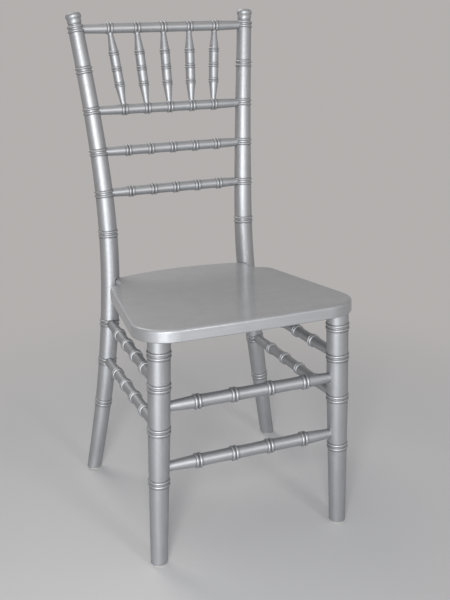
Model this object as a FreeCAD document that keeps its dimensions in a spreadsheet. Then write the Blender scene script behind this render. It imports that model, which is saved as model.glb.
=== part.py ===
import FreeCAD, Part
import math
import os

import Sketcher
from FreeCAD import Placement, Rotation, Vector

# Chiavari dining chair of turned wood, painted. Millimetres, +Z up, the front of the chair towards -Y.
# Left and right are as seen from the front. Every piece is turned or sawn by itself, and the frame is
# put together with round tenons glued into bored sockets.

# Sizes that can be set by themselves. Heights are above the floor, half spans are from the middle of
# the chair to an axis, and set backs are behind the rear posts' place at the seat.
SIZES = {
    # Whole chair
    "back_height": 915.0,
    "seat_reach": 370.0,
    # Rear posts: places of the axis, from the floor to the top
    "post_foot_half_span": 200.5,
    "post_foot_set_back": 5.0,
    "post_ankle_height": 155.0,
    "post_ankle_half_span": 175.3,
    "post_ankle_set_back": -6.5,
    "post_knee_height": 290.0,
    "post_knee_half_span": 157.3,
    "post_knee_set_back": -9.0,
    "post_hip_half_span": 145.5,
    "post_waist_half_span": 145.3,
    "post_waist_set_back": 12.5,
    "post_shoulder_half_span": 155.5,
    "post_shoulder_set_back": 34.5,
    "post_top_half_span": 173.0,
    "post_top_set_back": 68.0,
    # Rear posts: thickness at the same places
    "post_foot_diameter": 29.5,
    "post_ankle_diameter": 32.4,
    "post_knee_diameter": 35.6,
    "post_hip_diameter": 36.8,
    "post_waist_diameter": 34.2,
    "post_shoulder_diameter": 30.9,
    "post_top_diameter": 28.3,
    "post_back_bead_height": 505.0,
    "post_spindle_bead_height": 811.5,
    # Finials on the rear posts
    "finial_height": 22.5,
    "finial_diameter": 29.6,
    "finial_neck_diameter": 22.4,
    "finial_waist_diameter": 26.0,
    "finial_waist_height": 10.5,
    "finial_bowl_bulge": 1.2,
    "finial_shoulder_diameter": 24.4,
    "finial_dome": 1.7,
    # Front legs
    "leg_foot_half_span": 176.7,
    "leg_top_half_span": 162.8,
    "leg_foot_diameter": 29.8,
    "leg_ankle_diameter": 35.2,
    "leg_knee_diameter": 38.0,
    "leg_top_diameter": 38.8,
    "leg_ankle_bead_height": 164.0,
    "leg_top_bead_height": 398.0,
    "leg_tenon_diameter": 24.0,
    "leg_tenon_length": 14.0,
    "foot_chamfer": 2.0,
    # Heights of the cross members' axes
    "top_rail_height": 885.5,
    "spindle_rail_height": 737.5,
    "upper_ladder_height": 661.0,
    "lower_ladder_height": 582.8,
    "front_upper_height": 301.0,
    "front_lower_height": 189.0,
    "side_upper_front_height": 341.0,
    "side_upper_rear_height": 325.5,
    "side_lower_front_height": 261.5,
    "side_lower_rear_height": 246.0,
    "rear_stretcher_height": 350.0,
    # Thickness of the cross members at their beads, and how much thinner they are between beads
    "rail_diameter": 19.2,
    "front_stretcher_diameter": 23.2,
    "side_stretcher_diameter": 20.4,
    "spindle_diameter": 18.6,
    "rail_waisting": 0.5,
    "stretcher_waisting": 0.8,
    "spindle_waisting": 0.2,
    # Turned beads: a pair of half round rings a gap apart, between two narrow grooves
    "top_rail_bead_pitch": 53.0,
    "lower_rail_bead_pitch": 45.7,
    "front_stretcher_bead_pitch": 67.0,
    "side_stretcher_bead_pitch": 63.0,
    "rear_stretcher_bead_pitch": 60.0,
    "spindle_bead_pitch": 29.5,
    "post_ring_width": 5.0,
    "post_ring_height": 1.6,
    "post_ring_gap": 2.6,
    "stretcher_ring_width": 5.8,
    "stretcher_ring_height": 2.0,
    "stretcher_ring_gap": 0.8,
    "rail_ring_width": 5.6,
    "rail_ring_height": 1.8,
    "rail_ring_gap": 0.8,
    "spindle_ring_width": 3.6,
    "spindle_ring_height": 0.9,
    "spindle_ring_gap": 1.0,
    "groove_width": 1.5,
    "groove_depth": 0.8,
    # Seat board: its outline runs from the tongue between the posts, round the notches, to the front
    "seat_rear_height": 415.0,
    "seat_slope": 4.57,
    "seat_thickness": 22.0,
    "seat_length": 405.0,
    "seat_front_half_width": 206.8,
    "seat_front_bow": 6.0,
    "seat_rear_bow": 20.5,
    "tongue_start": 2.5,
    "tongue_bite": 12.0,
    "tongue_clearance": 1.5,
    "notch_length": 58.0,
    "ear_half_width": 168.0,
    "ear_length": 76.0,
    "tongue_corner_round": 2.5,
    "rear_bow_round": 10.0,
    "notch_round": 10.0,
    "ear_round": 42.0,
    "front_corner_round": 65.0,
    "seat_top_round": 5.0,
    "seat_bottom_round": 2.0,
    # Joints
    "rail_tenon_diameter": 16.4,
    "stretcher_tenon_diameter": 17.6,
    "spindle_tenon_diameter": 10.2,
    "tenon_past_axis": 2.0,
    "spindle_short_of_axis": 3.0,
    "tenon_stub": 1.0,
    "socket_end_gap": 1.0,
    "glue_clearance": 0.15,
    # Seat screws under wooden plugs
    "screw_diameter": 4.4,
    "screw_length": 40.0,
    "screw_head_diameter": 8.4,
    "screw_head_length": 3.2,
    "plug_diameter": 9.0,
    "plug_length": 5.0,
    "plug_chamfer": 0.5,
    # Plastic glides, each with a nail
    "glide_diameter": 22.0,
    "glide_thickness": 3.0,
    "glide_chamfer": 0.8,
    "nail_diameter": 2.4,
    "nail_length": 14.0,
    "nail_head_diameter": 6.0,
    "nail_head_length": 1.0,
    "nail_recess": 0.8,
}

SIDES = {"left": -1, "right": 1}
RAIL_BEADS = 5
STRETCHER_BEADS = 4
SPINDLE_BEADS = 3
SPINDLES = 5
# Turns a sketch that is drawn flat so that its Y runs up along the axis
UPRIGHT = Rotation(Vector(1, 0, 0), 90)
FLIPPED = Rotation(Vector(1, 0, 0), 180)
# How far rings are rooted under a groove's floor, and how far cuts run past a surface
ROOT = 1.2
PAST = 6.0
CLOSE = 1e-4
# Marks an arc that meets the upright axis squarely
CROWN = "crown"

doc = FreeCAD.newDocument("chiavari_chair")
sheet = doc.addObject("Spreadsheet::Sheet", "Sizes")
bodies = []
nodes = []


class Size:
    """A length that follows the sheet: its value now, and the formula that gives it."""

    def __init__(self, value, formula):
        self.value = float(value)
        self.formula = formula

    def __add__(self, other):
        return combine(self, "+", other)

    def __radd__(self, other):
        return combine(other, "+", self)

    def __sub__(self, other):
        return combine(self, "-", other)

    def __rsub__(self, other):
        return combine(other, "-", self)

    def __mul__(self, other):
        return combine(self, "*", other)

    def __rmul__(self, other):
        return combine(other, "*", self)

    def __truediv__(self, other):
        return combine(self, "/", other)


def as_size(number):
    """A Size for a plain number, and a Size as it is."""
    if isinstance(number, Size):
        return number
    return Size(number, format(float(number), ".9f"))


def combine(left, sign, right):
    """The Size that two sizes or numbers give."""
    left = as_size(left)
    right = as_size(right)
    if sign == "+":
        result = left.value + right.value
    elif sign == "-":
        result = left.value - right.value
    elif sign == "*":
        result = left.value * right.value
    else:
        result = left.value / right.value
    return Size(result, "(" + left.formula + " " + sign + " " + right.formula + ")")


def fill_sheet():
    """Write each size into the sheet under its own name."""
    for row, (name, number) in enumerate(SIZES.items(), start=1):
        cell = "B" + str(row)
        sheet.set("A" + str(row), name)
        sheet.set(cell, str(number))
        sheet.setAlias(cell, name)
    doc.recompute()


def size(name):
    """A size of the sheet by its name."""
    return Size(sheet.get(name), "Sizes." + name)


def value(name):
    """The present value of a size of the sheet."""
    return size(name).value


def bind(item, path, length):
    """Tie a property of a feature to a formula on the sheet."""
    length = as_size(length)
    setattr(item, path, length.value)
    item.setExpression(path, length.formula)


# Sketches and features

def new_body(label, place):
    """An empty piece of the chair, in its place."""
    body = doc.addObject("PartDesign::Body", label)
    body.Label = label
    body.Placement = place
    bodies.append(body)
    return body


def origin_feature(body, role):
    """A plane or axis of the piece's own origin."""
    return next(item for item in body.Origin.OriginFeatures if item.Role == role)


def new_sketch(body, name, place):
    """An empty sketch on the piece's base plane, moved to place."""
    sketch = body.newObject("Sketcher::SketchObject", body.Label + "_" + name)
    sketch.AttachmentSupport = (origin_feature(body, "XY_Plane"), [""])
    sketch.MapMode = "FlatFace"
    sketch.AttachmentOffset = place
    return sketch


def constrain(sketch, kind, geometry, point, length):
    """Hold one coordinate of a point at a length from the sketch's origin."""
    length = as_size(length)
    if abs(length.value) < CLOSE:
        axis = -2 if kind == "DistanceX" else -1
        sketch.addConstraint(Sketcher.Constraint("PointOnObject", geometry, point, axis))
        return
    index = sketch.addConstraint(Sketcher.Constraint(kind, -1, 1, geometry, point, length.value))
    sketch.setExpression("Constraints[" + str(index) + "]", length.formula)


def hold_radius(sketch, geometry, radius):
    """Hold the radius of a circle or an arc."""
    index = sketch.addConstraint(Sketcher.Constraint("Radius", geometry, radius.value))
    sketch.setExpression("Constraints[" + str(index) + "]", radius.formula)


def circle_sketch(body, name, place, radius):
    """A circle about the sketch's origin."""
    sketch = new_sketch(body, name, place)
    radius = as_size(radius)
    circle = sketch.addGeometry(Part.Circle(Vector(0, 0, 0), Vector(0, 0, 1), radius.value), False)
    sketch.addConstraint(Sketcher.Constraint("Coincident", circle, 3, -1, 1))
    hold_radius(sketch, circle, radius)
    return sketch


def arc_middle(first, last, rise):
    """The point of an arc that stands rise to the left of the middle of its chord."""
    chord = last - first
    left = Vector(-chord.y, chord.x, 0).normalize()
    return (first + last) * 0.5 + left * rise


def edge_ends(sketch, edge, start):
    """Which end of an edge lies at start, as the sketch numbers them, and then the other one."""
    if (sketch.getPoint(edge, 1) - start).Length < CLOSE:
        return 1, 2
    return 2, 1


def crown_middle(first, last):
    """The middle point of an arc from first that ends square to the upright axis at last."""
    rise = last.y - first.y
    radius = (first.x * first.x + rise * rise) / (2 * rise)
    centre = Vector(0, last.y - radius, 0)
    return centre + ((first - centre) + (last - centre)).normalize() * radius


def hold_arc(sketch, arc, first, last, rise):
    """Hold the centre of an arc that stands rise to the left of the chord between two corners."""
    if rise is CROWN:
        sketch.addConstraint(Sketcher.Constraint("PointOnObject", arc, 3, -2))
        return
    first = [as_size(number) for number in first]
    last = [as_size(number) for number in last]
    across, up = (end.value - start.value for start, end in zip(first, last))
    chord = math.hypot(across, up)
    radius = (chord * chord / 4 + rise * rise) / (2 * rise)
    left = (-up / chord, across / chord)
    axis = 0 if abs(left[0]) > abs(left[1]) else 1
    centre = (first[axis] + last[axis]) / 2 + left[axis] * (rise - radius)
    constrain(sketch, ("DistanceX", "DistanceY")[axis], arc, 3, centre)


def outline_sketch(body, name, place, corners, rises=None):
    """A closed outline through corners.

    rises gives, by a corner's number, the height of the arc that follows it, or CROWN for an arc that
    meets the upright axis squarely.
    """
    sketch = new_sketch(body, name, place)
    rises = rises or {}
    points = [Vector(as_size(across).value, as_size(up).value, 0) for across, up in corners]
    edges = []
    for number, first in enumerate(points):
        last = points[(number + 1) % len(points)]
        rise = rises.get(number)
        if rise is None:
            edges.append(sketch.addGeometry(Part.LineSegment(first, last), False))
            continue
        middle = crown_middle(first, last) if rise is CROWN else arc_middle(first, last, rise.value)
        edges.append(sketch.addGeometry(Part.Arc(first, middle, last), False))
    ends = [edge_ends(sketch, edge, points[number]) for number, edge in enumerate(edges)]
    for number, edge in enumerate(edges):
        after = (number + 1) % len(edges)
        joint = Sketcher.Constraint("Coincident", edge, ends[number][1], edges[after], ends[after][0])
        sketch.addConstraint(joint)
        constrain(sketch, "DistanceX", edge, ends[number][0], corners[number][0])
        constrain(sketch, "DistanceY", edge, ends[number][0], corners[number][1])
    for number, rise in rises.items():
        hold_arc(sketch, edges[number], corners[number], corners[(number + 1) % len(corners)], rise)
    return sketch


def add_feature(body, kind, name, profile):
    """A feature made from a sketch, which becomes the piece's last one."""
    feature = body.newObject("PartDesign::" + kind, body.Label + "_" + name)
    feature.Profile = profile
    body.Tip = feature
    return feature


def extrude(body, kind, name, profile, length):
    """Raise a sketch along its normal (Pad), or cut against it (Pocket)."""
    feature = add_feature(body, kind, name, profile)
    bind(feature, "Length", length)
    return feature


def turn(body, kind, name, place, corners, rises=None):
    """Turn an outline about the upright axis of its sketch, to add (Revolution) or cut (Groove)."""
    sketch = outline_sketch(body, name + "_outline", place, corners, rises)
    feature = add_feature(body, kind, name, sketch)
    feature.ReferenceAxis = (sketch, ["V_Axis"])
    feature.Angle = 360.0
    return feature


def bore(body, name, floor, inward, radius, run):
    """Drill a round hole from its floor back out of its mouth. floor and inward are in the chair's frame."""
    to_piece = body.Placement.inverse()
    direction = to_piece.Rotation.multVec(inward)
    place = Placement(to_piece.multVec(floor), Rotation(Vector(0, 0, 1), direction))
    extrude(body, "Pocket", name, circle_sketch(body, name + "_outline", place, radius), run)


def round_edges(body, name, radius, is_wanted):
    """Round those edges of the piece that is_wanted picks, in the piece's own frame."""
    doc.recompute()
    base = body.Tip
    wanted = ["Edge" + str(number) for number, edge in enumerate(base.Shape.Edges, start=1)
              if is_wanted(edge)]
    feature = body.newObject("PartDesign::Fillet", body.Label + "_" + name)
    feature.Base = (base, wanted)
    bind(feature, "Radius", radius)
    body.Tip = feature


def lies_at_height(edge, height):
    """Whether an edge lies level, at a height of the piece's own frame."""
    box = edge.BoundBox
    return abs(edge.Vertexes[0].Z - height) < CLOSE and box.ZLength < ROOT


def turned_bead(body, name, place, floor, family):
    """A pair of rings between two grooves, about the upright axis of place.

    floor is the grooves' radius, and family names the rings' sizes (post, rail, stretcher or spindle).
    """
    inner = size(family + "_ring_gap") / 2
    outer = inner + size(family + "_ring_width")
    edge = outer + size("groove_width")
    crest = size(family + "_ring_height") + size("groove_depth")
    outside = floor + crest + PAST
    groove_corners = [(floor, 0 - edge), (outside, 0 - edge), (outside, edge), (floor, edge)]
    groove = turn(body, "Groove", name + "_groove", place, groove_corners)
    root = floor - ROOT
    ring_corners = [(root, 0 - outer), (floor, 0 - outer), (floor, 0 - inner), (floor, inner),
                    (floor, outer), (root, outer)]
    rings = turn(body, "Revolution", name + "_rings", place, ring_corners, {1: 0 - crest, 3: 0 - crest})
    return groove, rings


def chamfer_foot(body, place, radius):
    """Break the edge of a foot, whose level end is at place."""
    chamfer = size("foot_chamfer")
    low = (radius - chamfer - PAST, 0 - PAST)
    high = (radius + PAST, chamfer + PAST)
    outline = [low, (radius + PAST, 0 - PAST), high]
    turn(body, "Groove", "foot_chamfer", Placement(place.Base, place.Rotation * UPRIGHT), outline)


# Seat board's place

def seat_frame(depth=0.0):
    """The place of a plane of the seat board, depth under its top face, with its origin at the posts."""
    slope = Rotation(Vector(1, 0, 0), -value("seat_slope"))
    top = Placement(Vector(0, 0, value("seat_rear_height")), slope)
    return top * Placement(Vector(0, 0, -depth), Rotation())


# Round members between two points

class Member:
    """A straight turned member from tenon tip to tenon tip."""

    def __init__(self, label, start, end):
        self.label = label
        self.start = start
        self.end = end
        self.direction = (end - start).normalize()

    def build(self, kind, beads, pitch, stubs):
        """Turn the member of a kind (rail, front_stretcher, side_stretcher or spindle).

        stubs are the lengths of the straight tenons at the start and at the end.
        """
        family = kind.split("_")[-1]
        tenon = size(family + "_tenon_diameter") / 2
        swell = size(kind + "_diameter") / 2
        length = (self.end - self.start).Length
        body = new_body(self.label, Placement(self.start, Rotation(Vector(0, 0, 1), self.direction)))
        spots = [length / 2 + (number - (beads - 1) / 2) * pitch for number in range(beads)]
        corners = [(0, 0), (tenon, 0), (tenon, stubs[0])]
        corners += [(swell, spot) for spot in spots]
        corners += [(tenon, length - stubs[1]), (tenon, length), (0, length)]
        rises = {3 + number: size(family + "_waisting") for number in range(beads - 1)}
        turn(body, "Revolution", "turning", Placement(Vector(0, 0, 0), UPRIGHT), corners, rises)
        first = Placement(Vector(0, 0, spots[0].value), UPRIGHT)
        originals = turned_bead(body, "bead", first, swell - size("groove_depth"), family)
        pattern = body.newObject("PartDesign::LinearPattern", self.label + "_beads")
        pattern.Originals = list(originals)
        pattern.Direction = (origin_feature(body, "Z_Axis"), [""])
        bind(pattern, "Length", pitch * (beads - 1))
        pattern.Occurrences = beads
        body.Tip = pattern
        return body


# Rear posts

def at_height(curve, height):
    """The point and the upward direction of a rising curve at a height."""
    low, high = curve.FirstParameter, curve.LastParameter
    for _ in range(60):
        middle = (low + high) / 2
        if curve.value(middle).z < height:
            low = middle
        else:
            high = middle
    direction = Vector(*curve.tangent(low)[0])
    return curve.value(low), direction if direction.z > 0 else direction * -1


class Post:
    """A bent rear post: its axis as a smooth curve, its thickness along it, and its beads."""

    def __init__(self, name, side):
        self.name = "rear_post_" + name
        self.side = side
        self.stations = [
            ("foot", value("glide_thickness"), value("post_foot_set_back")),
            ("ankle", value("post_ankle_height"), value("post_ankle_set_back")),
            ("knee", value("post_knee_height"), value("post_knee_set_back")),
            ("hip", value("seat_rear_height"), 0.0),
            ("waist", value("lower_ladder_height"), value("post_waist_set_back")),
            ("shoulder", value("spindle_rail_height"), value("post_shoulder_set_back")),
            ("top", value("back_height"), value("post_top_set_back")),
        ]
        self.axis = Part.BSplineCurve()
        self.axis.interpolate(Points=[Vector(side * value("post_" + station + "_half_span"), back, height)
                                      for station, height, back in self.stations])
        self.taper = Part.BSplineCurve()
        self.taper.interpolate(Points=[Vector(value("post_" + station + "_diameter") / 2, 0, height)
                                       for station, height, _ in self.stations])

    def point(self, height):
        """The axis at a height above the floor."""
        return at_height(self.axis, height)[0]

    def radius(self, height):
        """Half the post's thickness at a height."""
        return at_height(self.taper, height)[0].x

    def frame(self, height):
        """A place on the axis at a height, with its own Z along the axis."""
        point, direction = at_height(self.axis, height)
        return Placement(point, Rotation(Vector(0, 0, 1), direction))

    def taper_sections(self, body, finial_start):
        """Sections along the axis: one at each station, and one half way to the next."""
        to_piece = body.Placement.inverse()
        foot = to_piece * Placement(self.point(value("glide_thickness")), Rotation())
        sections = [circle_sketch(body, "foot_section", foot, size("post_foot_diameter") / 2)]
        for (_, below, _), (station, height, _) in zip(self.stations, self.stations[1:-1]):
            middle = (below + height) / 2
            sections.append(self.section(body, "below_" + station, middle, self.radius(middle)))
            sections.append(self.section(body, station, height, size("post_" + station + "_diameter") / 2))
        middle = (self.stations[-2][1] + finial_start) / 2
        for height in (middle, finial_start):
            sections.append(self.section(body, "upper", height, self.radius(height)))
        return sections

    def section(self, body, name, height, radius):
        """A section square to the axis at a height."""
        place = body.Placement.inverse() * self.frame(height)
        return circle_sketch(body, name + "_section", place, radius)

    def build(self):
        """The bent taper with its foot, finial and beads, before anything is bored into it."""
        foot_place = Placement(self.point(value("glide_thickness")), Rotation())
        body = new_body(self.name, foot_place)
        to_piece = body.Placement.inverse()
        top = self.frame(value("back_height"))
        rise = top.Rotation.multVec(Vector(0, 0, 1)).z * value("finial_height")
        finial_start = value("back_height") - rise
        sections = self.taper_sections(body, finial_start)
        loft = body.newObject("PartDesign::AdditiveLoft", body.Label + "_taper")
        loft.Profile = sections[0]
        loft.Sections = sections[1:]
        body.Tip = loft
        chamfer_foot(body, to_piece * foot_place, size("post_foot_diameter") / 2)
        build_finial(body, to_piece * self.frame(finial_start))
        beads = ["post_ankle_height", "side_lower_rear_height", "side_upper_rear_height",
                 "post_back_bead_height", "lower_ladder_height", "upper_ladder_height",
                 "spindle_rail_height", "post_spindle_bead_height", "top_rail_height"]
        for name in beads:
            frame = self.frame(value(name))
            place = to_piece * Placement(frame.Base, frame.Rotation * UPRIGHT)
            floor = self.radius(value(name)) - size("groove_depth")
            turned_bead(body, name, place, floor, "post")
        return body


def build_finial(body, frame):
    """The knob that tops a rear post: a small bowl, a round cap on it and a low dome."""
    neck = size("finial_neck_diameter") / 2
    waist = size("finial_waist_diameter") / 2
    shoulder = size("finial_shoulder_diameter") / 2
    height = size("finial_height")
    corners = [
        (0, 0 - ROOT),
        (neck, 0 - ROOT),
        (neck, 0),
        (waist, size("finial_waist_height")),
        (shoulder, height - size("finial_dome")),
        (0, height),
    ]
    cap_bulge = size("finial_diameter") / 2 - (waist + shoulder) / 2
    rises = {2: 0 - size("finial_bowl_bulge"), 3: 0 - cap_bulge, 4: CROWN}
    turn(body, "Revolution", "finial", Placement(frame.Base, frame.Rotation * UPRIGHT), corners, rises)


# Front legs

class Leg:
    """A straight front leg that leans outwards: its axis, its thickness along it, and its beads."""

    def __init__(self, name, side):
        self.name = "front_leg_" + name
        front = -value("seat_reach")
        self.floor_point = Vector(side * value("leg_foot_half_span"), front, 0)
        top = Vector(side * value("leg_top_half_span"), front, value("seat_rear_height"))
        self.direction = (top - self.floor_point).normalize()
        # Length along the axis for each unit of height
        self.stretch = 1 / self.direction.z
        underside = seat_frame(value("seat_thickness"))
        normal = underside.Rotation.multVec(Vector(0, 0, 1))
        self.length = (underside.Base - self.floor_point).dot(normal) / self.direction.dot(normal)
        self.shoulder = Placement(self.floor_point + self.direction * self.length, underside.Rotation)

    def point(self, height):
        """The axis at a height above the floor."""
        return self.floor_point + self.direction * (height * self.stretch)

    def profile(self):
        """The places along the axis where the thickness is set, with half the thickness there."""
        places = [
            (as_size(0), size("leg_foot_diameter")),
            (size("leg_ankle_bead_height") * self.stretch, size("leg_ankle_diameter")),
            (size("side_lower_front_height") * self.stretch, size("leg_knee_diameter")),
            (as_size(self.length), size("leg_top_diameter")),
        ]
        return [(place, diameter / 2) for place, diameter in places]

    def radius(self, height):
        """Half the leg's thickness at a height."""
        along = height * self.stretch
        places = self.profile()
        for (low, thin), (high, thick) in zip(places, places[1:]):
            if along <= high.value or high is places[-1][0]:
                share = (along - low.value) / (high.value - low.value)
                return thin.value + share * (thick.value - thin.value)

    def build(self):
        """The turned leg, cut level at the foot and to the seat's slope at its shoulder, with a tenon."""
        body = new_body(self.name, Placement(self.floor_point, Rotation(Vector(0, 0, 1), self.direction)))
        to_piece = body.Placement.inverse()
        places = self.profile()
        corners = [(0, 0)] + [(radius, place) for place, radius in places]
        top = places[-1][0] + PAST
        corners += [(places[-1][1], top), (0, top)]
        turn(body, "Revolution", "turning", Placement(Vector(0, 0, 0), UPRIGHT), corners)
        level = to_piece * Placement(self.point(value("glide_thickness")), Rotation())
        wide = size("leg_top_diameter")
        extrude(body, "Pocket", "foot_cut", circle_sketch(body, "foot_plane", level, wide), PAST * 2)
        chamfer_foot(body, level, size("leg_foot_diameter") / 2)
        shoulder = to_piece * self.shoulder
        flipped = Placement(shoulder.Base, shoulder.Rotation * FLIPPED)
        extrude(body, "Pocket", "shoulder_cut", circle_sketch(body, "shoulder_plane", flipped, wide), PAST * 3)
        tenon = circle_sketch(body, "tenon_outline", shoulder, size("leg_tenon_diameter") / 2)
        extrude(body, "Pad", "tenon", tenon, size("leg_tenon_length"))
        beads = ["leg_ankle_bead_height", "side_lower_front_height", "side_upper_front_height",
                 "leg_top_bead_height"]
        for name in beads:
            place = Placement(Vector(0, 0, value(name) * self.stretch), UPRIGHT)
            floor = self.radius(value(name)) - size("groove_depth")
            turned_bead(body, name, place, floor, "post")
        return body


# Seat board

def tongue_half_width():
    """Half the width of the seat's tongue, which bites into the posts."""
    return size("post_hip_half_span") - size("post_hip_diameter") / 2 + size("tongue_bite")


def build_seat():
    """The sawn board with its tongue, notches, rounded corners and rounded edges."""
    body = new_body("seat_board", seat_frame())
    bow_half = size("post_hip_half_span") - size("post_hip_diameter") / 2 - size("tongue_clearance")
    rear = 0 - size("tongue_start")
    front = size("seat_front_bow") - size("seat_length")
    half = [
        (bow_half, rear),
        (tongue_half_width(), rear),
        (tongue_half_width(), 0 - size("notch_length")),
        (size("ear_half_width"), 0 - size("ear_length")),
        (size("seat_front_half_width"), front),
    ]
    mirrored = [(0 - across, along) for across, along in half]
    corners = half + mirrored[::-1]
    rises = {4: size("seat_front_bow"), 9: size("seat_rear_bow")}
    outline = outline_sketch(body, "outline", Placement(), corners, rises)
    pad = extrude(body, "Pad", "board", outline, size("seat_thickness"))
    pad.Reversed = True
    rounds = ["rear_bow_round", "tongue_corner_round", "notch_round", "ear_round", "front_corner_round"]
    for name, (across, along) in zip(rounds, half):
        corner = Vector(across.value, along.value, 0)
        round_edges(body, name, size(name), lambda edge: is_upright_at(edge, corner))
    round_edges(body, "top_round", size("seat_top_round"), lambda edge: lies_at_height(edge, 0))
    round_edges(body, "bottom_round", size("seat_bottom_round"),
                lambda edge: lies_at_height(edge, -value("seat_thickness")))
    return body


def is_upright_at(edge, corner):
    """Whether an edge stands upright at a corner of the outline, or at the corner's mirror image."""
    low, high = edge.Vertexes[0].Point, edge.Vertexes[-1].Point
    place = Vector(abs(low.x), low.y, 0)
    return (place - corner).Length < CLOSE and abs(low.z - high.z) > ROOT


# Joints between the pieces

def tenon_socket(body, name, tip, inward, kind, run):
    """Bore the socket of a tenon whose tip and direction are given, in the piece that takes it."""
    floor = tip + inward * value("socket_end_gap")
    radius = size(kind + "_tenon_diameter") / 2 + size("glue_clearance")
    bore(body, name, floor, inward, radius, run)


def join_to_uprights(label, kind, ends, beads, pitch):
    """A member between two posts or legs, with its tenons and their sockets.

    ends holds, for the start and for the end, the upright's body, the upright and the height.
    """
    (_, first, first_height), (_, last, last_height) = ends
    between = (last.point(last_height) - first.point(first_height)).normalize()
    past = value("tenon_past_axis")
    start = first.point(first_height) - between * past
    end = last.point(last_height) + between * past
    member = Member(label, start, end)
    stubs = [size("tenon_past_axis") + upright.radius(height) + size("post_ring_height") + size("tenon_stub")
             for _, upright, height in ends]
    body = member.build(kind, beads, pitch, stubs)
    family = kind.split("_")[-1]
    for (upright_body, upright, height), tip, inward in zip(ends, (start, end), (between * -1, between)):
        tenon_socket(upright_body, label + "_socket", tip, inward, family, as_size(2 * upright.radius(height)))
    return body


def join_spindle(number, top_body, bottom_body, posts):
    """One spindle of the back, with its tenons and their sockets in the two rails."""
    place = number - (SPINDLES - 1) / 2
    top = (posts[0].point(value("top_rail_height")) + posts[1].point(value("top_rail_height"))) * 0.5
    bottom = (posts[0].point(value("spindle_rail_height")) + posts[1].point(value("spindle_rail_height"))) * 0.5
    top.x = place * value("top_rail_bead_pitch")
    bottom.x = place * value("lower_rail_bead_pitch")
    upward = (top - bottom).normalize()
    short = value("spindle_short_of_axis")
    start = bottom + upward * short
    end = top - upward * short
    label = "spindle_" + str(number + 1)
    member = Member(label, start, end)
    stub = size("rail_diameter") / 2 + size("rail_ring_height") + size("tenon_stub") - size("spindle_short_of_axis")
    member.build("spindle", SPINDLE_BEADS, size("spindle_bead_pitch"), [stub, stub])
    tenon_socket(bottom_body, label + "_socket", start, upward * -1, "spindle", size("rail_diameter"))
    tenon_socket(top_body, label + "_socket", end, upward, "spindle", size("rail_diameter"))


def cut_housing(body, side):
    """Cut the housing in a post's inner front quarter for the seat's tongue."""
    gap = size("glue_clearance")
    place = body.Placement.inverse() * seat_frame(-value("glue_clearance"))
    outer = tongue_half_width() + gap
    inner = size("post_hip_half_span") - size("post_hip_diameter") / 2 - PAST
    rear = gap - size("tongue_start")
    front = 0 - size("post_hip_diameter") / 2 - PAST
    corners = [(side * across, along)
               for across, along in [(outer, rear), (inner, rear), (inner, front), (outer, front)]]
    outline = outline_sketch(body, "housing_outline", place, corners)
    extrude(body, "Pocket", "housing", outline, size("seat_thickness") + 2 * gap)


def join_leg_to_seat(leg, seat):
    """Bore the blind socket under the seat for a front leg's tenon."""
    upward = leg.shoulder.Rotation.multVec(Vector(0, 0, 1))
    tip = leg.shoulder.Base + upward * value("leg_tenon_length")
    run = size("leg_tenon_length") + size("socket_end_gap") + PAST
    tenon_socket(seat, leg.name + "_socket", tip, upward, "leg", run)


def join_seat_screw(name, post, post_body, seat):
    """One seat screw, from the back of a post through its axis into the tongue, and its plug."""
    middle = seat_frame(value("seat_thickness") / 2)
    axis_point = post.point(middle.Base.z)
    inward = middle.Rotation.multVec(Vector(-post.side, -1, 0)).normalize()
    surface = axis_point - inward * post.radius(middle.Base.z)
    head_start = surface + inward * value("plug_length")
    tip = head_start + inward * value("screw_length")
    shank = size("screw_diameter") / 2
    head = size("screw_head_diameter") / 2
    head_length = size("screw_head_length")
    gap = size("glue_clearance")
    screw = new_body("seat_screw_" + name, Placement(head_start, Rotation(Vector(0, 0, 1), inward)))
    point_start = size("screw_length") - size("screw_diameter")
    turn(screw, "Revolution", "turning", Placement(Vector(0, 0, 0), UPRIGHT), [
        (0, 0), (head, 0), (head, head_length), (shank, head_length), (shank, point_start),
        (0, size("screw_length"))])
    plug = new_body("screw_plug_" + name, Placement(head_start, Rotation(Vector(0, 0, 1), inward * -1)))
    round_part = size("plug_diameter") / 2
    chamfer = size("plug_chamfer")
    plug_length = size("plug_length")
    turn(plug, "Revolution", "turning", Placement(Vector(0, 0, 0), UPRIGHT), [
        (0, 0), (round_part, 0), (round_part, plug_length - chamfer), (round_part - chamfer, plug_length),
        (0, plug_length)])
    through = size("screw_length") + PAST
    bore(post_body, "screw_hole", tip, inward, shank + gap, through)
    seat_floor = head_start + inward * value("screw_head_length")
    bore(post_body, "plug_hole", seat_floor, inward, round_part + gap, head_length + plug_length + PAST)
    floor = tip + inward * value("socket_end_gap")
    bore(seat, "screw_hole_" + name, floor, inward, shank + gap, through)
    return screw, plug


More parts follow.
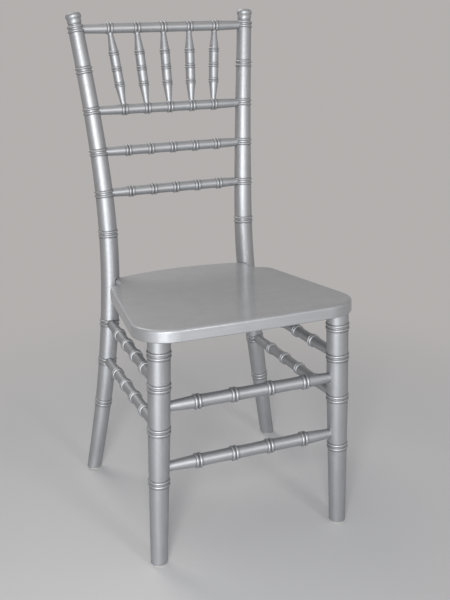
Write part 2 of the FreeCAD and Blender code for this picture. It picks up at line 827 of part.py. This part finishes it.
def join_glide(name, upright, upright_body):
    """A glide under a foot, with its nail and the nail's hole."""
    foot = upright.point(value("glide_thickness"))
    place = Placement(Vector(foot.x, foot.y, 0), Rotation())
    thickness = size("glide_thickness")
    gap = size("glue_clearance")
    shank = size("nail_diameter") / 2
    head = size("nail_head_diameter") / 2
    recess = size("nail_recess")
    head_top = recess + size("nail_head_length")
    tip = thickness + size("nail_length")
    outer = size("glide_diameter") / 2
    chamfer = size("glide_chamfer")
    glide = new_body("glide_" + name, place)
    turn(glide, "Revolution", "turning", Placement(Vector(0, 0, 0), UPRIGHT), [
        (shank + gap, thickness), (outer, thickness), (outer, chamfer), (outer - chamfer, 0),
        (head + gap, 0), (head + gap, head_top), (shank + gap, head_top)])
    nail = new_body("glide_nail_" + name, place)
    turn(nail, "Revolution", "turning", Placement(Vector(0, 0, 0), UPRIGHT), [
        (0, recess), (head, recess), (head, head_top), (shank, head_top),
        (shank, tip - size("nail_diameter")), (0, tip)])
    floor = Vector(foot.x, foot.y, tip.value + value("socket_end_gap"))
    run = size("nail_length") + size("socket_end_gap") + PAST
    bore(upright_body, "nail_hole", floor, Vector(0, 0, 1), shank + gap, run)
    return nail


def group(label, members):
    """One node for like fasteners, as separate solids."""
    compound = doc.addObject("Part::Compound", label)
    compound.Label = label
    compound.Links = members
    nodes.append(compound)


# The chair

def build_chair():
    """Build every piece of the chair, and bore the pieces that take others."""
    posts = [Post(name, side) for name, side in SIDES.items()]
    legs = [Leg(name, side) for name, side in SIDES.items()]
    post_bodies = [post.build() for post in posts]
    leg_bodies = [leg.build() for leg in legs]
    seat = build_seat()

    def across_posts(height_name):
        height = value(height_name)
        return [(body, post, height) for body, post in zip(post_bodies, posts)]

    def across_legs(height_name):
        height = value(height_name)
        return [(body, leg, height) for body, leg in zip(leg_bodies, legs)]

    lower_pitch = size("lower_rail_bead_pitch")
    top_rail = join_to_uprights("top_rail", "rail", across_posts("top_rail_height"),
                                RAIL_BEADS, size("top_rail_bead_pitch"))
    spindle_rail = join_to_uprights("spindle_rail", "rail", across_posts("spindle_rail_height"),
                                    RAIL_BEADS, lower_pitch)
    for name in ("upper_ladder", "lower_ladder"):
        join_to_uprights(name + "_rail", "rail", across_posts(name + "_height"), RAIL_BEADS, lower_pitch)
    for number in range(SPINDLES):
        join_spindle(number, top_rail, spindle_rail, posts)
    for name in ("upper", "lower"):
        join_to_uprights("front_stretcher_" + name, "front_stretcher", across_legs("front_" + name + "_height"),
                         STRETCHER_BEADS, size("front_stretcher_bead_pitch"))
        for number, side_name in enumerate(SIDES):
            ends = [(post_bodies[number], posts[number], value("side_" + name + "_rear_height")),
                    (leg_bodies[number], legs[number], value("side_" + name + "_front_height"))]
            join_to_uprights("side_stretcher_" + side_name + "_" + name, "side_stretcher", ends,
                             STRETCHER_BEADS, size("side_stretcher_bead_pitch"))
    join_to_uprights("rear_stretcher", "side_stretcher", across_posts("rear_stretcher_height"),
                     STRETCHER_BEADS, size("rear_stretcher_bead_pitch"))

    screws = []
    plugs = []
    nails = []
    for number, (name, side) in enumerate(SIDES.items()):
        cut_housing(post_bodies[number], side)
        join_leg_to_seat(legs[number], seat)
        screw, plug = join_seat_screw(name, posts[number], post_bodies[number], seat)
        screws.append(screw)
        plugs.append(plug)
        nails.append(join_glide("rear_" + name, posts[number], post_bodies[number]))
        nails.append(join_glide("front_" + name, legs[number], leg_bodies[number]))
    grouped = screws + plugs + nails
    nodes.extend(body for body in bodies if body not in grouped)
    group("seat_screws", screws)
    group("screw_plugs", plugs)
    group("glide_nails", nails)
    doc.recompute()


def centre_chair():
    """Move every piece so that the origin is in the middle of the chair's box, on the floor."""
    box = Part.makeCompound([node.Shape for node in nodes]).optimalBoundingBox(False, False)
    shift = Vector(-(box.XMin + box.XMax) / 2, -(box.YMin + box.YMax) / 2, -box.ZMin)
    for body in bodies:
        body.Placement = Placement(body.Placement.Base + shift, body.Placement.Rotation)
    doc.recompute()


def check_chair():
    """Stop if a feature failed, a cut removed nothing, or a piece isn't one sound solid."""
    for item in doc.Objects:
        if "Invalid" in item.State or "Error" in item.State:
            raise RuntimeError(item.Name + " failed: " + str(item.State))
        if item.TypeId in ("PartDesign::Pocket", "PartDesign::Groove"):
            removed = item.BaseFeature.Shape.Volume - item.Shape.Volume
            if removed < CLOSE:
                raise RuntimeError(item.Name + " removed nothing")
    for body in bodies:
        if body.Shape.isNull() or not body.Shape.isValid() or len(body.Shape.Solids) != 1:
            raise RuntimeError(body.Label + " isn't one sound solid")


def export_chair():
    """Write each node to its own file."""
    os.makedirs("parts", exist_ok=True)
    for node in nodes:
        node.Shape.exportStep("parts/" + node.Label + ".step")


fill_sheet()
build_chair()
centre_chair()
check_chair()
export_chair()
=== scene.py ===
"""Looks of a silver painted chiavari chair: its finishes, floor, light and camera."""

import logging
import math
from dataclasses import dataclass
from enum import Enum
from typing import Any, Iterable, Mapping, Optional, Sequence, Union

import bpy
from mathutils import Matrix, Vector


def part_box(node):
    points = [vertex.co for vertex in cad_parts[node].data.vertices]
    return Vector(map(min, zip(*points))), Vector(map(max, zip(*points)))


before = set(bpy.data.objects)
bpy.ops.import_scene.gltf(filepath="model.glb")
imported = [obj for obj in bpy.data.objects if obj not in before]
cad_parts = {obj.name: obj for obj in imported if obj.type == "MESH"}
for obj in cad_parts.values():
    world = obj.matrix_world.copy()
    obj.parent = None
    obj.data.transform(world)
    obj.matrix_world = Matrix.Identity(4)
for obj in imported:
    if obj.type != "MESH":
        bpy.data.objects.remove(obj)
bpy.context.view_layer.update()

PHOTO_WIDTH = 450.0
MM = 0.001

# Where a Mix node has its factor, its two colours and its mixed colour.
MIX_FACTOR, MIX_FIRST, MIX_SECOND, MIX_RESULT = 0, 6, 7, 2
# The mean of a fractal noise.
NOISE_MIDDLE = 0.5
# How many rays look for nearby surfaces at each point.
CLOSENESS_RAYS = 8

Colour = tuple[float, float, float]
Band = tuple[float, float]
Place = tuple[float, float, float]
Number = Union[int, float]

log = logging.getLogger("chair")


class Grain(Enum):
    """Which way the wood runs in a piece: the axis of the frame that it lies nearest to."""

    ACROSS = 0
    DEEP = 1
    UPRIGHT = 2


class Wire:
    """One output of a shader node, with arithmetic that adds Math nodes."""

    def __init__(self, graph: "Graph", node: bpy.types.Node, output: Union[int, str] = 0) -> None:
        """Wrap an output.

        Args:
            graph: The graph that the node is in.
            node: The node.
            output: The output's name or number.
        """
        self.graph = graph
        self.node = node
        self.output = output

    @property
    def socket(self) -> bpy.types.NodeSocket:
        """The output's own socket."""
        return self.node.outputs[self.output]

    def beside(self, output: Union[int, str]) -> "Wire":
        """Another output of the same node."""
        return Wire(self.graph, self.node, output)

    def _math(self, operation: str, *values: "Feed") -> "Wire":
        """Add a Math node.

        Args:
            operation: The Math node's operation.
            values: What feeds its sockets, in order.

        Returns:
            The node's result.
        """
        inputs = dict(enumerate(values))
        return self.graph.add("ShaderNodeMath", {"operation": operation}, inputs)

    def __add__(self, other: "Feed") -> "Wire":
        """This value plus another."""
        return self._math("ADD", self, other)

    def __radd__(self, other: "Feed") -> "Wire":
        """Another value plus this one."""
        return self._math("ADD", other, self)

    def __sub__(self, other: "Feed") -> "Wire":
        """This value less another."""
        return self._math("SUBTRACT", self, other)

    def __rsub__(self, other: "Feed") -> "Wire":
        """Another value less this one."""
        return self._math("SUBTRACT", other, self)

    def __mul__(self, other: "Feed") -> "Wire":
        """This value times another."""
        return self._math("MULTIPLY", self, other)

    def __rmul__(self, other: "Feed") -> "Wire":
        """Another value times this one."""
        return self._math("MULTIPLY", other, self)

    def clamped(self) -> "Wire":
        """This value held between 0 and 1."""
        return self.graph.add("ShaderNodeClamp", {}, {"Value": self})

    def step(self, band: Band) -> "Wire":
        """Ease this value from 0 to 1 across a band.

        Args:
            band: The value that gives 0, and the value that gives 1.

        Returns:
            The eased value.
        """
        settings = {"interpolation_type": "SMOOTHSTEP"}
        inputs = {"Value": self, "From Min": band[0], "From Max": band[1]}
        return self.graph.add("ShaderNodeMapRange", settings, inputs, "Result")


Feed = Union[Wire, Number, Sequence[float]]


def rgba(feed: Feed) -> Feed:
    """A colour socket's value: a wire as it is, and three numbers with an alpha of 1."""
    return feed if isinstance(feed, Wire) else (*feed, 1.0)


@dataclass(frozen=True)
class Pattern:
    """A fractal noise.

    Attributes:
        scale: How many features there are to a metre.
        detail: How many octaves there are.
        roughness: How strong the finer octaves are.
    """

    scale: float
    detail: float
    roughness: float


@dataclass(frozen=True)
class Relief:
    """A fine relief on a surface.

    Attributes:
        depth: Its real height in metres.
        strength: How much of it shows.
    """

    depth: float
    strength: float


class Graph:
    """The shader graph of one material or of the world."""

    def __init__(self, tree: bpy.types.NodeTree) -> None:
        """Clear a node tree and start on it."""
        tree.nodes.clear()
        self.tree = tree

    def add(self, kind: str, settings: Mapping[str, Any], inputs: Mapping[Union[int, str], Feed],
            output: Union[int, str] = 0) -> Wire:
        """Add a node of any type.

        Args:
            kind: The node's type.
            settings: What is set on the node itself, first.
            inputs: What each socket is fed by: a wire, a number or a list of numbers.
            output: The output to return.

        Returns:
            The chosen output.
        """
        node = self.tree.nodes.new(kind)
        for name, setting in settings.items():
            setattr(node, name, setting)
        for name, feed in inputs.items():
            if isinstance(feed, Wire):
                self.tree.links.new(feed.socket, node.inputs[name])
            else:
                node.inputs[name].default_value = feed
        return Wire(self, node, output)

    def place(self) -> Wire:
        """The place on the object, in metres."""
        return self.add("ShaderNodeTexCoord", {}, {}, "Object")

    def stretched(self, place: Wire, scale: Sequence[float]) -> Wire:
        """Coordinates scaled along each axis."""
        inputs = {0: place, 1: tuple(scale)}
        return self.add("ShaderNodeVectorMath", {"operation": "MULTIPLY"}, inputs)

    def mix(self, factor: Feed, first: Feed, second: Feed) -> Wire:
        """Mix two colours.

        Args:
            factor: The share of the second colour.
            first: The colour at 0.
            second: The colour at 1.

        Returns:
            The mixed colour.
        """
        settings = {"data_type": "RGBA", "blend_type": "MIX"}
        inputs = {MIX_FACTOR: factor, MIX_FIRST: rgba(first), MIX_SECOND: rgba(second)}
        return self.add("ShaderNodeMix", settings, inputs, MIX_RESULT)

    def noise(self, place: Wire, pattern: Pattern) -> Wire:
        """A fractal noise about NOISE_MIDDLE.

        Args:
            place: The coordinates.
            pattern: The noise to make.

        Returns:
            The noise.
        """
        inputs = {"Vector": place, "Scale": pattern.scale, "Detail": pattern.detail,
                  "Roughness": pattern.roughness}
        return self.add("ShaderNodeTexNoise", {"noise_dimensions": "3D"}, inputs, "Fac")

    def bump(self, height: Wire, relief: Relief, under: Optional[Wire] = None) -> Wire:
        """A bumped normal.

        Args:
            height: The relief's form, from 0 to 1.
            relief: Its depth and strength.
            under: A normal to start from.

        Returns:
            The normal.
        """
        inputs: dict[Union[int, str], Feed] = {
            "Height": height, "Distance": relief.depth, "Strength": relief.strength}
        if under is not None:
            inputs["Normal"] = under
        return self.add("ShaderNodeBump", {}, inputs)

    def closeness(self, distance: float, inside: bool) -> Wire:
        """How hemmed in the surface is within a distance.

        Args:
            distance: How far to look, in metres.
            inside: Whether to look into the piece, which finds its outer edges.

        Returns:
            0 on an open surface, and up to 1 in a groove or on an edge.
        """
        settings = {"samples": CLOSENESS_RAYS, "inside": inside, "only_local": inside}
        inputs = {"Distance": distance}
        return 1.0 - self.add("ShaderNodeAmbientOcclusion", settings, inputs, "AO")

    def camera_rays(self) -> Wire:
        """Where the camera looks straight, or by way of metal and glass.

        Returns:
            1 for such rays, and 0 for the rest.
        """
        camera = self.add("ShaderNodeLightPath", {}, {}, "Is Camera Ray")
        glossy, through = camera.beside("Is Glossy Ray"), camera.beside("Is Transmission Ray")
        return (camera + glossy + through).clamped()


def new_material(name: str) -> tuple[bpy.types.Material, Graph]:
    """Make a material with nothing in its graph.

    Args:
        name: The material's name.

    Returns:
        The material and its graph.
    """
    material = bpy.data.materials.new(name)
    material.use_nodes = True
    return material, Graph(material.node_tree)


@dataclass(frozen=True)
class SilverPaint:
    """Satin silver paint, sprayed over turned wood.

    It shows fine flakes and faint grain. Its edges are lightened, partly as rubbed wear and
    partly as a painted highlight, and its grooves are darkened, partly as dust and partly as
    painted shade.
    """

    grain: Grain
    name: str = "silver_paint"
    base: Colour = (0.52, 0.53, 0.545)
    shade: Colour = (0.45, 0.46, 0.475)
    # A near-black laid in the grooves: partly dust, partly painted shade.
    dust_and_shade: Colour = (0.10, 0.10, 0.098)
    # A lighter grey laid on the outer edges: partly rubbed wear, partly painted highlight.
    worn_and_highlight: Colour = (0.66, 0.665, 0.67)
    edge_tint: Colour = (0.45, 0.46, 0.48)
    metallic: float = 0.96
    roughness: float = 0.52
    coat: float = 0.12
    coat_roughness: float = 0.18

    grain_along: float = 7.0
    grain_across: float = 420.0
    fibres: Pattern = Pattern(1.0, 3.0, 0.6)
    mottle: Pattern = Pattern(38.0, 3.0, 0.55)
    spray: Pattern = Pattern(520.0, 2.0, 0.5)
    flake: Pattern = Pattern(2600.0, 1.0, 0.5)
    fibres_share: float = 0.4
    mottle_share: float = 0.25
    spray_share: float = 0.35
    tone_band: Band = (0.3, 0.7)

    groove_width: float = 3.0 * MM
    dust_and_shade_band: Band = (0.18, 0.85)
    dust_and_shade_share: float = 0.8
    edge_width: float = 1.2 * MM
    edge_band: Band = (0.25, 0.75)
    wear_and_highlight_band: Band = (0.35, 0.6)
    wear_and_highlight_share: float = 0.55

    mottle_gloss: float = 0.08
    flake_gloss: float = 0.12
    matt_band: Band = (0.2, 0.9)
    matt_share: float = 0.2

    fibres_relief: Relief = Relief(0.03 * MM, 0.6)
    mottle_relief: Relief = Relief(0.05 * MM, 0.5)
    spray_relief: Relief = Relief(0.02 * MM, 0.5)

    def material(self) -> bpy.types.Material:
        """Make the material.

        Returns:
            A material whose grain runs along the piece.
        """
        name = self.name + "_" + self.grain.name.lower()
        if name in bpy.data.materials:
            return bpy.data.materials[name]
        material, graph = new_material(name)
        place = graph.place()
        along = [self.grain_along if axis is self.grain else self.grain_across for axis in Grain]
        fibres = graph.noise(graph.stretched(place, along), self.fibres)
        mottle = graph.noise(place, self.mottle)
        spray = graph.noise(place, self.spray)
        flake = graph.noise(place, self.flake)
        groove = graph.closeness(self.groove_width, inside=False)
        edge = graph.closeness(self.edge_width, inside=True)

        tone = (self.fibres_share * fibres + self.mottle_share * mottle
                + self.spray_share * spray).step(self.tone_band)
        # Lighten the outer edges in patches: partly rubbed wear, partly painted highlight.
        wear_and_highlight = (edge.step(self.edge_band) * mottle.step(self.wear_and_highlight_band)).clamped()
        colour = graph.mix(tone, self.shade, self.base)
        colour = graph.mix(wear_and_highlight * self.wear_and_highlight_share, colour, self.worn_and_highlight)
        # Darken the grooves, found by occlusion, towards near-black: partly dust, partly painted
        # shade.
        colour = graph.mix(groove.step(self.dust_and_shade_band) * self.dust_and_shade_share, colour, self.dust_and_shade)

        rough = (self.roughness + (mottle - NOISE_MIDDLE) * self.mottle_gloss
                 + (flake - NOISE_MIDDLE) * self.flake_gloss
                 + groove.step(self.matt_band) * self.matt_share).clamped()

        normal = graph.bump(fibres, self.fibres_relief)
        normal = graph.bump(mottle, self.mottle_relief, normal)
        normal = graph.bump(spray, self.spray_relief, normal)
        shader = graph.add("ShaderNodeBsdfPrincipled", {}, {
            "Base Color": colour, "Metallic": self.metallic, "Roughness": rough,
            "Normal": normal, "Specular Tint": rgba(self.edge_tint),
            "Coat Weight": self.coat, "Coat Roughness": self.coat_roughness})
        graph.add("ShaderNodeOutputMaterial", {}, {"Surface": shader})
        return material


@dataclass(frozen=True)
class PlainFinish:
    """A plain material with fine variation: zinc plated steel or moulded plastic."""

    name: str
    base: Colour
    shade: Colour
    metallic: float
    roughness: float
    fine: Pattern = Pattern(300.0, 3.0, 0.6)
    tone_band: Band = (0.3, 0.7)
    gloss_spread: float = 0.3
    relief: Relief = Relief(0.05 * MM, 0.4)

    def material(self) -> bpy.types.Material:
        """Make the material.

        Returns:
            The material.
        """
        if self.name in bpy.data.materials:
            return bpy.data.materials[self.name]
        material, graph = new_material(self.name)
        fine = graph.noise(graph.place(), self.fine)
        colour = graph.mix(fine.step(self.tone_band), self.shade, self.base)
        rough = (self.roughness + (fine - NOISE_MIDDLE) * self.gloss_spread).clamped()
        shader = graph.add("ShaderNodeBsdfPrincipled", {}, {
            "Base Color": colour, "Metallic": self.metallic, "Roughness": rough,
            "Normal": graph.bump(fine, self.relief)})
        graph.add("ShaderNodeOutputMaterial", {}, {"Surface": shader})
        return material


ZINC = PlainFinish("zinc_plate", (0.66, 0.67, 0.68), (0.5, 0.5, 0.5), 1.0, 0.32)
NYLON = PlainFinish("pale_nylon", (0.72, 0.71, 0.68), (0.6, 0.59, 0.56), 0.0, 0.5)


def dress(names: Iterable[str], material: bpy.types.Material) -> None:
    """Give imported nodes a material.

    Args:
        names: The nodes' names.
        material: Their finish.
    """
    for name in names:
        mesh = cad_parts[name].data
        mesh.materials.clear()
        mesh.materials.append(material)
        log.info("%s: %s", name, material.name)


@dataclass
class RearPosts:
    """The two bent rear posts with their finials and beads."""

    posts: tuple[str, ...] = ("rear_post_left", "rear_post_right")

    def dress(self) -> None:
        """Paint the posts, with the grain upright."""
        dress(self.posts, SilverPaint(Grain.UPRIGHT).material())


@dataclass
class FrontLegs:
    """The two turned front legs."""

    legs: tuple[str, ...] = ("front_leg_left", "front_leg_right")

    def dress(self) -> None:
        """Paint the legs, with the grain upright."""
        dress(self.legs, SilverPaint(Grain.UPRIGHT).material())


@dataclass
class Back:
    """The rails and spindles between the posts."""

    rails: tuple[str, ...] = (
        "top_rail", "spindle_rail", "upper_ladder_rail", "lower_ladder_rail")
    spindles: tuple[str, ...] = (
        "spindle_1", "spindle_2", "spindle_3", "spindle_4", "spindle_5")

    def dress(self) -> None:
        """Paint the rails and the spindles, with the grain along each."""
        dress(self.rails, SilverPaint(Grain.ACROSS).material())
        dress(self.spindles, SilverPaint(Grain.UPRIGHT).material())


@dataclass
class Stretchers:
    """The turned stretchers between the legs and the posts."""

    across: tuple[str, ...] = (
        "front_stretcher_upper", "front_stretcher_lower", "rear_stretcher")
    deep: tuple[str, ...] = (
        "side_stretcher_left_upper", "side_stretcher_left_lower",
        "side_stretcher_right_upper", "side_stretcher_right_lower")

    def dress(self) -> None:
        """Paint the stretchers, with the grain along each."""
        dress(self.across, SilverPaint(Grain.ACROSS).material())
        dress(self.deep, SilverPaint(Grain.DEEP).material())


@dataclass
class Seat:
    """The sawn seat board, with more lacquer over a softer sheen."""

    board: str = "seat_board"
    coat: float = 0.8
    roughness: float = 0.62

    def dress(self) -> None:
        """Paint the board, with the grain across it."""
        paint = SilverPaint(
            Grain.ACROSS, name="seat_paint", coat=self.coat, roughness=self.roughness)
        dress([self.board], paint.material())


@dataclass
class Fittings:
    """The screws with their plugs, and the glides with their nails."""

    plugs: tuple[str, ...] = ("screw_plugs",)
    steel: tuple[str, ...] = ("seat_screws", "glide_nails")
    glides: tuple[str, ...] = (
        "glide_front_left", "glide_front_right", "glide_rear_left", "glide_rear_right")

    def dress(self) -> None:
        """Paint the plugs, zinc the steel and leave the glides as moulded."""
        dress(self.plugs, SilverPaint(Grain.DEEP).material())
        dress(self.steel, ZINC.material())
        dress(self.glides, NYLON.material())


@dataclass(frozen=True)
class Lamp:
    """A soft lamp.

    Attributes:
        name: Its name.
        place: Where it hangs.
        target: What it points at.
        size: Its width and height.
        power: Its power in watts.
        colour: Its colour.
    """

    name: str
    place: Place
    target: Place
    size: tuple[float, float]
    power: float
    colour: Colour

    def build(self) -> None:
        """Hang the lamp."""
        data = bpy.data.lights.new(self.name, "AREA")
        data.shape = "RECTANGLE"
        data.size, data.size_y = self.size
        data.energy = self.power
        data.color = self.colour
        lamp = bpy.data.objects.new(self.name, data)
        bpy.context.scene.collection.objects.link(lamp)
        aim = (Vector(self.target) - Vector(self.place)).to_track_quat("-Z", "Y")
        lamp.matrix_world = Matrix.Translation(self.place) @ aim.to_matrix().to_4x4()
        log.info("lamp %s: %.1f W", self.name, self.power)


NEUTRAL: Colour = (0.97, 0.985, 1.0)
COOL: Colour = (0.93, 0.965, 1.0)
COOLEST: Colour = (0.9, 0.95, 1.0)
WARM: Colour = (1.0, 0.99, 0.97)
WARMEST: Colour = (1.0, 0.985, 0.97)

# The key stands beside the camera, the low lamp lights the legs, and the front lamp the rails.
STUDIO_LAMPS = (
    Lamp("key", (-0.86, -1.9, 1.12), (0.0, 0.0, 0.55), (0.6, 0.9), 25.0, NEUTRAL),
    Lamp("low", (-1.2, -1.65, 0.2), (0.0, -0.1, 0.25), (0.9, 0.36), 11.0, COOL),
    Lamp("front", (0.5, -2.3, 1.05), (0.0, 0.0, 0.5), (0.4, 0.6), 8.0, NEUTRAL),
    Lamp("fill", (2.2, -1.2, 1.6), (0.0, 0.0, 0.5), (1.0, 1.4), 1.5, COOLEST),
    Lamp("top", (0.0, 0.0, 2.9), (0.0, 0.0, 0.4), (1.8, 1.8), 2.5, WARM),
    Lamp("back", (-0.6, 1.7, 2.4), (0.0, 0.0, 0.5), (1.4, 1.2), 17.0, WARMEST),
)


@dataclass
class Studio:
    """A pale floor that runs out of view, soft light from all round, and the lamps."""

    floor_radius: float = 60.0
    floor_sides: int = 96
    floor_colour: Colour = (0.76, 0.742, 0.73)
    background: Colour = (0.45, 0.433, 0.425)
    background_strength: float = 1.0
    fade_band: Band = (0.3, 1.15)
    world_colour: Colour = (0.86, 0.91, 1.0)
    world_strength: float = 0.20
    lamps: tuple[Lamp, ...] = STUDIO_LAMPS

    def build(self) -> None:
        """Build the floor, the world and the lamps."""
        self.build_floor()
        self.build_world()
        for lamp in self.lamps:
            lamp.build()

    def build_floor(self) -> None:
        """Lay a disc under the chair, which fades to the background's colour further out."""
        turns = [2 * math.pi * number / self.floor_sides for number in range(self.floor_sides)]
        ring = [(self.floor_radius * math.cos(turn), self.floor_radius * math.sin(turn), 0.0)
                for turn in turns]
        mesh = bpy.data.meshes.new("floor")
        mesh.from_pydata(ring, [], [list(range(self.floor_sides))])
        floor = bpy.data.objects.new("floor", mesh)
        bpy.context.scene.collection.objects.link(floor)
        mesh.materials.append(self.floor_material())
        log.info("floor: %d sides", self.floor_sides)

    def floor_material(self) -> bpy.types.Material:
        """Make the floor's material.

        Returns:
            A matt material that glows as the background does where the camera sees it far off.
        """
        material, graph = new_material("pale_floor")
        length = {"operation": "LENGTH"}
        distance = graph.add("ShaderNodeVectorMath", length, {0: graph.place()}, "Value")
        matt = graph.add("ShaderNodeBsdfDiffuse", {}, {"Color": rgba(self.floor_colour)})
        glow = graph.add("ShaderNodeEmission", {}, {
            "Color": rgba(self.background), "Strength": self.background_strength})
        share = distance.step(self.fade_band) * graph.camera_rays()
        mixed = graph.add("ShaderNodeMixShader", {}, {0: share, 1: matt, 2: glow})
        graph.add("ShaderNodeOutputMaterial", {}, {"Surface": mixed})
        return material

    def build_world(self) -> None:
        """Set the soft light from all round, and the pale background."""
        world = bpy.data.worlds.new("studio")
        world.use_nodes = True
        bpy.context.scene.world = world
        graph = Graph(world.node_tree)
        light = graph.add("ShaderNodeBackground", {}, {
            "Color": rgba(self.world_colour), "Strength": self.world_strength})
        behind = graph.add("ShaderNodeBackground", {}, {
            "Color": rgba(self.background), "Strength": self.background_strength})
        mixed = graph.add("ShaderNodeMixShader", {}, {
            0: graph.camera_rays(), 1: light, 2: behind})
        graph.add("ShaderNodeOutputWorld", {}, {"Surface": mixed})
        log.info("world: strength %.2f", self.world_strength)


@dataclass
class Camera:
    """The camera, placed from the front legs and turned as the photo was taken.

    Attributes:
        legs: The pieces whose middle plane the camera's distance is measured from.
        across: How far the eye is to the right of the chair's middle.
        before_legs: How far the eye is in front of the front legs.
        height: The eye's height.
        yaw, pitch, roll: The view's turn, tilt and lean in degrees.
        focal_pixels: The focal length in pixels of the photo.
        sensor_width: The sensor's width in millimetres.
    """

    legs: tuple[str, ...] = ("front_leg_left", "front_leg_right")
    across: float = -0.555
    before_legs: float = 1.2863
    height: float = 0.959
    yaw: float = 21.54
    pitch: float = -19.33
    roll: float = -0.57
    focal_pixels: float = 895.3
    sensor_width: float = 36.0

    def build(self) -> None:
        """Set up the camera and make it the scene's own."""
        data = bpy.data.cameras.new("camera")
        data.sensor_fit = "HORIZONTAL"
        data.sensor_width = self.sensor_width
        data.lens = self.focal_pixels / PHOTO_WIDTH * self.sensor_width
        camera = bpy.data.objects.new("camera", data)
        camera.matrix_world = self.matrix()
        bpy.context.scene.collection.objects.link(camera)
        bpy.context.scene.camera = camera
        log.info("camera: %.1f mm lens", data.lens)

    def matrix(self) -> Matrix:
        """Work out where the camera stands and how it is turned.

        Returns:
            The camera's matrix.
        """
        corners = [corner for name in self.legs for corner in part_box(name)]
        depths = [corner.y for corner in corners]
        middle = (min(depths) + max(depths)) / 2
        eye = Vector((self.across, middle - self.before_legs, self.height))
        yaw, pitch, roll = (math.radians(angle) for angle in (self.yaw, self.pitch, self.roll))
        ahead = Vector((
            math.sin(yaw) * math.cos(pitch), math.cos(yaw) * math.cos(pitch), math.sin(pitch)))
        level = ahead.cross(Vector((0, 0, 1))).normalized()
        above = level.cross(ahead)
        right = level * math.cos(roll) + above * math.sin(roll)
        up = above * math.cos(roll) - level * math.sin(roll)
        return Matrix((
            (right.x, up.x, -ahead.x, eye.x),
            (right.y, up.y, -ahead.y, eye.y),
            (right.z, up.z, -ahead.z, eye.z),
            (0.0, 0.0, 0.0, 1.0)))


def main() -> None:
    """Dress the chair, and build its studio and camera."""
    logging.basicConfig(level=logging.INFO, format="%(name)s: %(message)s")
    bpy.context.scene.view_settings.view_transform = "Standard"
    for part in (RearPosts(), FrontLegs(), Back(), Stretchers(), Seat(), Fittings()):
        part.dress()
        log.info("dressed %s", type(part).__name__)
    Studio().build()
    Camera().build()


if __name__ == "__main__":
    main()
